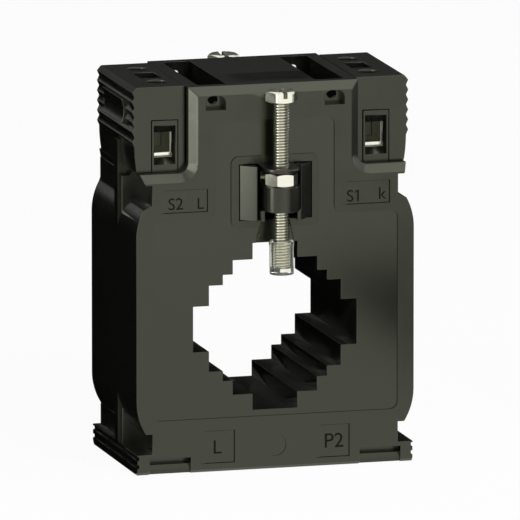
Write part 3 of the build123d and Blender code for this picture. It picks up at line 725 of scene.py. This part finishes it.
class TRANSFORMER_OT_ring(bpy.types.Operator):
    """Wind the secondary round the ring and finish the core and the leads"""

    bl_idname = "transformer.ring"
    bl_label = "Ring core and winding"
    bl_options = {"REGISTER", "UNDO"}

    def execute(self, context):
        copper = enamelled_wire("enamelled_copper_wire", colours().copper)
        strip = wound_strip("wound_silicon_steel", colours().core)
        for node, finish in (("ring_core", strip), ("lead_left", copper), ("lead_right", copper)):
            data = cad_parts[node].data
            data.materials.clear()
            data.materials.append(finish)
        object_from("secondary_winding", [self.turns()], copper, "case", sharp=80)
        return {"FINISHED"}

    def turns(self):
        """Wall of wire round the core. Its section in the ring's radial plane is a rounded
        rectangle. The outer skin dips by the wire between turns, as a power of the sine of half
        the turn's angle, the inner skin follows the core, and both meet at the ends of the gap."""
        low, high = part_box("secondary_winding")
        core_low, core_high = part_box("ring_core")
        rows_per_turn, columns = 6, 96
        core_gap = 0.05 * MM
        end_gap = math.radians(7)
        outer_corner, inner_corner = 0.9 * MM, 0.03 * MM
        outer = (high.x - low.x) / 2
        axis_z = high.z - outer
        inner = outer - sizes().winding_band
        wall = outer - (core_high.x - core_low.x) / 2 - core_gap
        rows = sizes().turns * rows_per_turn + 1
        along = np.linspace(end_gap, 2 * np.pi - end_gap, rows)
        swell = np.abs(np.sin(np.linspace(0, sizes().turns * np.pi, rows))) ** 0.6
        inset = np.concatenate([(1 - swell) * sizes().wire, np.full(rows, wall)])[:, None]
        angle = np.concatenate([along, along[::-1]])[:, None]
        corner = np.repeat([outer_corner, inner_corner], rows)[:, None]
        turn = (np.arange(columns) + 0.5)[None] * 2 * np.pi / columns
        across = np.cos(turn)
        beside = np.sin(turn)
        half_band = (outer - inner) / 2
        half_depth = (high.y - low.y) / 2
        r = (outer + inner) / 2 + np.sign(across) * (half_band - inset - corner) + corner * across
        y = np.sign(beside) * (half_depth - inset - corner) + corner * beside
        grid = np.stack([-np.sin(angle) * r, y, axis_z - np.cos(angle) * r], -1)
        return lattice(grid, wrap_rows=True)


class TRANSFORMER_OT_marks(bpy.types.Operator):
    """Raise the terminals' marks in their shallow boxes, and lay dark strips of painted shade along the
    boxes' inner edges
    """

    bl_idname = "transformer.marks"
    bl_label = "Terminal marks"
    bl_options = {"REGISTER", "UNDO"}

    # Letters, their height and the place of their middle across and up, in mm
    letters = (
        ("S2", 2.9, -25.0, 66.75), ("L", 2.75, -18.7, 66.6), ("S1", 2.9, 19.6, 66.6), ("k", 2.9, 27.1, 66.9),
        ("L", 3.4, -14.5, 6.2), ("P2", 3.6, 14.9, 6.3),
    )
    # Middle of each box across and up, its width and height, in mm
    boxes = (
        (-22.95, 67.35, 11.9, 5.7), (22.95, 67.35, 11.9, 5.7),
        (-14.5, 6.25, 8.5, 8.1), (14.5, 6.25, 8.5, 8.1),
    )
    # Corners of the flag of the 1, across and up, in mm
    flag = ((20.05, 67.2), (20.75, 67.75), (20.75, 68.05), (20.05, 67.5))
    # Faces of a solid whose first four corners lie behind the other four
    prism = ((3, 2, 1, 0), (4, 5, 6, 7), (0, 1, 5, 4), (1, 2, 6, 5), (2, 3, 7, 6), (3, 0, 4, 7))
    # Box depth, how far the marks sink into the box floor, and how far the painted shade lines and the 1's
    # flag stand out of it
    box_depth = 0.25 * MM
    sunk = 0.02 * MM
    shade_line_and_flag_relief = 0.06 * MM

    def execute(self, context):
        # One dark finish serves the raised marks and the strips of painted shade in the boxes' corners
        finish = spark_textured_polymer(
            "eroded_mark_and_painted_shade", linear("#10110e"), shiny=0.8, dull=0.9, level=0.12
        )
        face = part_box("front_shell")[0].y
        box_floor = face + self.box_depth
        back, front = box_floor + self.sunk, box_floor - self.shade_line_and_flag_relief
        points, faces, start = [], [], 0
        for text, tall, x, z in self.letters:
            flat, polygons = self.text_points(text, tall * MM)
            flat -= (flat.max(0) + flat.min(0)) / 2
            rise = flat[:, 2] - flat[:, 2].min()
            points.append(np.stack([flat[:, 0] + x * MM, back - rise, flat[:, 1] + z * MM], -1))
            faces += [[start + v for v in polygon] for polygon in polygons]
            start += len(flat)
        # Dark strips of painted shade along each box's inner edges, then the flag of the 1
        for corners in self.lines():
            ring = np.array(corners) * MM
            points += [np.insert(ring, 1, depth, axis=1) for depth in (back, front)]
            faces += [[start + v for v in side] for side in self.prism]
            start += 2 * len(ring)
        mesh = closed_mesh("terminal_marks_and_painted_shade", np.concatenate(points), faces)
        placed("terminal_marks_and_painted_shade", mesh, finish, "case")
        return {"FINISHED"}

    def lines(self):
        """Corners in mm, across and up, of the dark strip of painted shade inside each box's bottom,
        right and top edge, and of the flag of the 1."""
        left_gap, low_shade_line, right_shade_line, top_shade_line = 1, 0.16, 0.2, 0.1
        for x, z, wide, high in self.boxes:
            left, right, low, top = x - wide / 2, x + wide / 2, z - high / 2, z + high / 2
            for x0, x1, z0, z1 in (
                (left + left_gap, right, low, low + low_shade_line),
                (right - right_shade_line, right, low, top),
                (left + left_gap, right, top - top_shade_line, top),
            ):
                yield (x0, z0), (x1, z0), (x1, z1), (x0, z1)
        yield self.flag

    def text_points(self, text, tall):
        """Points and faces of plain letters of that height, lying flat, as thick as their relief."""
        capital_share = 0.7
        curve = bpy.data.curves.new("mark", "FONT")
        curve.body = text
        curve.size = tall / capital_share
        curve.offset = sizes().mark_stroke
        curve.extrude = (sizes().mark_relief + self.sunk) / 2
        curve.resolution_u = 6
        holder = bpy.data.objects.new("mark", curve)
        mesh = bpy.data.meshes.new_from_object(holder)
        points = np.empty(len(mesh.vertices) * 3)
        mesh.vertices.foreach_get("co", points)
        polygons = [tuple(polygon.vertices) for polygon in mesh.polygons]
        bpy.data.objects.remove(holder)
        bpy.data.curves.remove(curve)
        bpy.data.meshes.remove(mesh)
        return points.reshape(-1, 3), polygons


class TRANSFORMER_OT_stage(bpy.types.Operator):
    """Set the floor, the soft lights, the flags and the camera"""

    bl_idname = "transformer.stage"
    bl_label = "Stage"
    bl_options = {"REGISTER", "UNDO"}

    # Softboxes turned to the object: place and size in metres, radiance, whether they light
    # surfaces, and whether they show in shiny ones
    softboxes = (
        ("front_softbox", (0.35, -1.1, 0.75), (0.9, 0.8), 8.0, True, False),
        ("left_strip", (-0.36, -0.1, 0.12), (0.13, 0.3), 4.0, False, True),
        ("top_softbox", (0.28, -0.2, 1.0), (0.7, 0.6), 0.9, True, True),
        ("fill", (-0.7, -0.6, 0.9), (0.6, 0.6), 0.6, True, True),
    )
    # Panels on the floor that face up: place and size in metres, radiance. They show only in shiny
    # surfaces, as the soft sheen of the front faces.
    low_panels = (
        ("low_panel_near", (-0.0125, -0.143, 0.001), (0.175, 0.246), 0.16),
        ("low_panel_far", (0.06, -0.583, 0.001), (0.32, 0.634), 0.24),
    )
    # Colours of the flags, which show only in shiny surfaces
    cloths = {
        "black_flag_cloth": "#0c0c0c",
        "pale_grey_card": "#b4b4b4",
        "dark_grey_card": "#6e6e6e",
        "charcoal_cloth": "#424242",
    }
    # Flags: their cloth and two opposite corners in metres
    flags = (
        ("rear_flag_low", "black_flag_cloth", (-1.5, 0.45, 0), (0.6, 0.45, 0.085)),
        ("rear_card", "pale_grey_card", (-0.5, 0.45, 0.085), (-0.15, 0.45, 0.15)),
        ("rear_flag_middle", "black_flag_cloth", (-0.15, 0.45, 0.085), (0.6, 0.45, 0.15)),
        ("rear_flag_high", "charcoal_cloth", (0.0, 0.45, 0.15), (0.6, 0.45, 0.45)),
        ("rear_card_high", "dark_grey_card", (-0.5, 0.45, 0.15), (0.0, 0.45, 0.45)),
        ("left_flag", "black_flag_cloth", (-1.5, -0.018, 0), (0.03, 0.45, 0)),
        ("right_flag_near", "black_flag_cloth", (0.075, -0.266, 0), (0.6, 0.12, 0)),
        ("right_flag_far", "black_flag_cloth", (0.22, -0.5, 0), (0.6, -0.266, 0)),
    )

    def execute(self, context):
        scene = context.scene
        scene.view_settings.view_transform = "Standard"
        floor = studio_floor("matt_studio_board", colours().floor, share=0.95)
        wide, under = 3, -0.02 * MM
        self.board("floor", (-wide, -wide, under), (wide, wide, under), floor)
        self.surroundings(scene)
        aim = Vector(scene.transformer_stage.aim)
        for name, at, size, radiance, diffuse, glossy in self.softboxes:
            self.softbox(name, Vector(at), size, radiance, diffuse, glossy, aim)
        for name, at, size, radiance in self.low_panels:
            self.softbox(name, Vector(at), size, radiance, False, True, Vector(at) + Vector((0, 0, 1)))
        finishes = {name: matt_cloth(name, linear(code)) for name, code in self.cloths.items()}
        for name, finish, low, high in self.flags:
            flag = self.board(name, low, high, finishes[finish])
            flag.visible_camera = False
            flag.visible_diffuse = False
            flag.visible_transmission = False
            flag.visible_shadow = False
        self.camera(scene, aim)
        return {"FINISHED"}

    def camera(self, scene, aim):
        """Long lens, far back, that looks at the aim and spans the frame's width there."""
        stage = scene.transformer_stage
        data = bpy.data.cameras.new("camera")
        data.sensor_width = 36.0
        data.lens = data.sensor_width * stage.distance / stage.frame_width
        data.clip_start = 0.1
        data.clip_end = 20.0
        camera = bpy.data.objects.new("camera", data)
        scene.collection.objects.link(camera)
        turn, rise = stage.azimuth, stage.elevation
        back = Vector((math.sin(turn) * math.cos(rise), -math.cos(turn) * math.cos(rise), math.sin(rise)))
        camera.location = aim + back * stage.distance
        camera.rotation_euler = (-back).to_track_quat("-Z", "Y").to_euler()
        scene.camera = camera

    def board(self, name, low, high, material):
        """Flat rectangle between two corners, either lying at one height or standing at one Y."""
        right_low = (high[0], low[1], low[2])
        left_high = (low[0], high[1], high[2])
        mesh = bpy.data.meshes.new(name)
        mesh.from_pydata([low, right_low, high, left_high], [], [(0, 1, 2, 3)])
        mesh.materials.append(material)
        board = bpy.data.objects.new(name, mesh)
        bpy.context.scene.collection.objects.link(board)
        return board

    def softbox(self, name, at, size, radiance, diffuse, glossy, aim):
        """Area lamp of a plain radiance, turned to a point, that lights surfaces, shows in them as
        a mirror image, or both."""
        lamp = bpy.data.lights.new(name, "AREA")
        lamp.shape = "RECTANGLE"
        lamp.size, lamp.size_y = size
        lamp.energy = radiance * math.pi * size[0] * size[1]
        holder = bpy.data.objects.new(name, lamp)
        bpy.context.scene.collection.objects.link(holder)
        holder.location = at
        holder.rotation_euler = (at - aim).to_track_quat("Z", "Y").to_euler()
        holder.visible_camera = False
        holder.visible_diffuse = diffuse
        holder.visible_glossy = glossy

    def surroundings(self, scene):
        """Even grey light all round, and plain white where the camera, metal or clear plastic looks."""
        world = bpy.data.worlds.new("studio")
        scene.world = world
        world.use_nodes = True
        tree = world.node_tree
        tree.nodes.clear()
        grey = add_node(tree, "ShaderNodeBackground", {"Color": WHITE, "Strength": 0.15}).outputs[0]
        white = add_node(tree, "ShaderNodeBackground", {"Color": WHITE, "Strength": 1.0}).outputs[0]
        mixed = add_node(tree, "ShaderNodeMixShader", {0: seen_directly(tree), 1: grey, 2: white}).outputs[0]
        output = add_node(tree, "ShaderNodeOutputWorld")
        tree.links.new(mixed, output.inputs["Surface"])


OPERATORS = (
    TRANSFORMER_OT_case,
    TRANSFORMER_OT_covers,
    TRANSFORMER_OT_inserts,
    TRANSFORMER_OT_clamps,
    TRANSFORMER_OT_terminals,
    TRANSFORMER_OT_ring,
    TRANSFORMER_OT_marks,
    TRANSFORMER_OT_stage,
)


class TRANSFORMER_PT_panel(bpy.types.Panel):
    """Lists the operators, in the order that main runs them"""

    bl_idname = "TRANSFORMER_PT_panel"
    bl_label = "Current transformer"
    bl_space_type = "VIEW_3D"
    bl_region_type = "UI"
    bl_category = "Transformer"

    def draw(self, context):
        for operator in OPERATORS:
            self.layout.operator(operator.bl_idname)


GROUPS = (TransformerSizes, TransformerColours, TransformerStage)
CLASSES = (*GROUPS, *OPERATORS, TRANSFORMER_PT_panel)


def register():
    for cls in CLASSES:
        bpy.utils.register_class(cls)
    bpy.types.Scene.transformer_sizes = PointerProperty(type=TransformerSizes)
    bpy.types.Scene.transformer_colours = PointerProperty(type=TransformerColours)
    bpy.types.Scene.transformer_stage = PointerProperty(type=TransformerStage)


def unregister():
    del bpy.types.Scene.transformer_sizes
    del bpy.types.Scene.transformer_colours
    del bpy.types.Scene.transformer_stage
    for cls in reversed(CLASSES):
        bpy.utils.unregister_class(cls)


def main():
    """Registers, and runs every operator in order."""
    register()
    for operator in OPERATORS:
        group, name = operator.bl_idname.split(".")
        getattr(getattr(bpy.ops, group), name)()


if __name__ == "__main__":
    main()
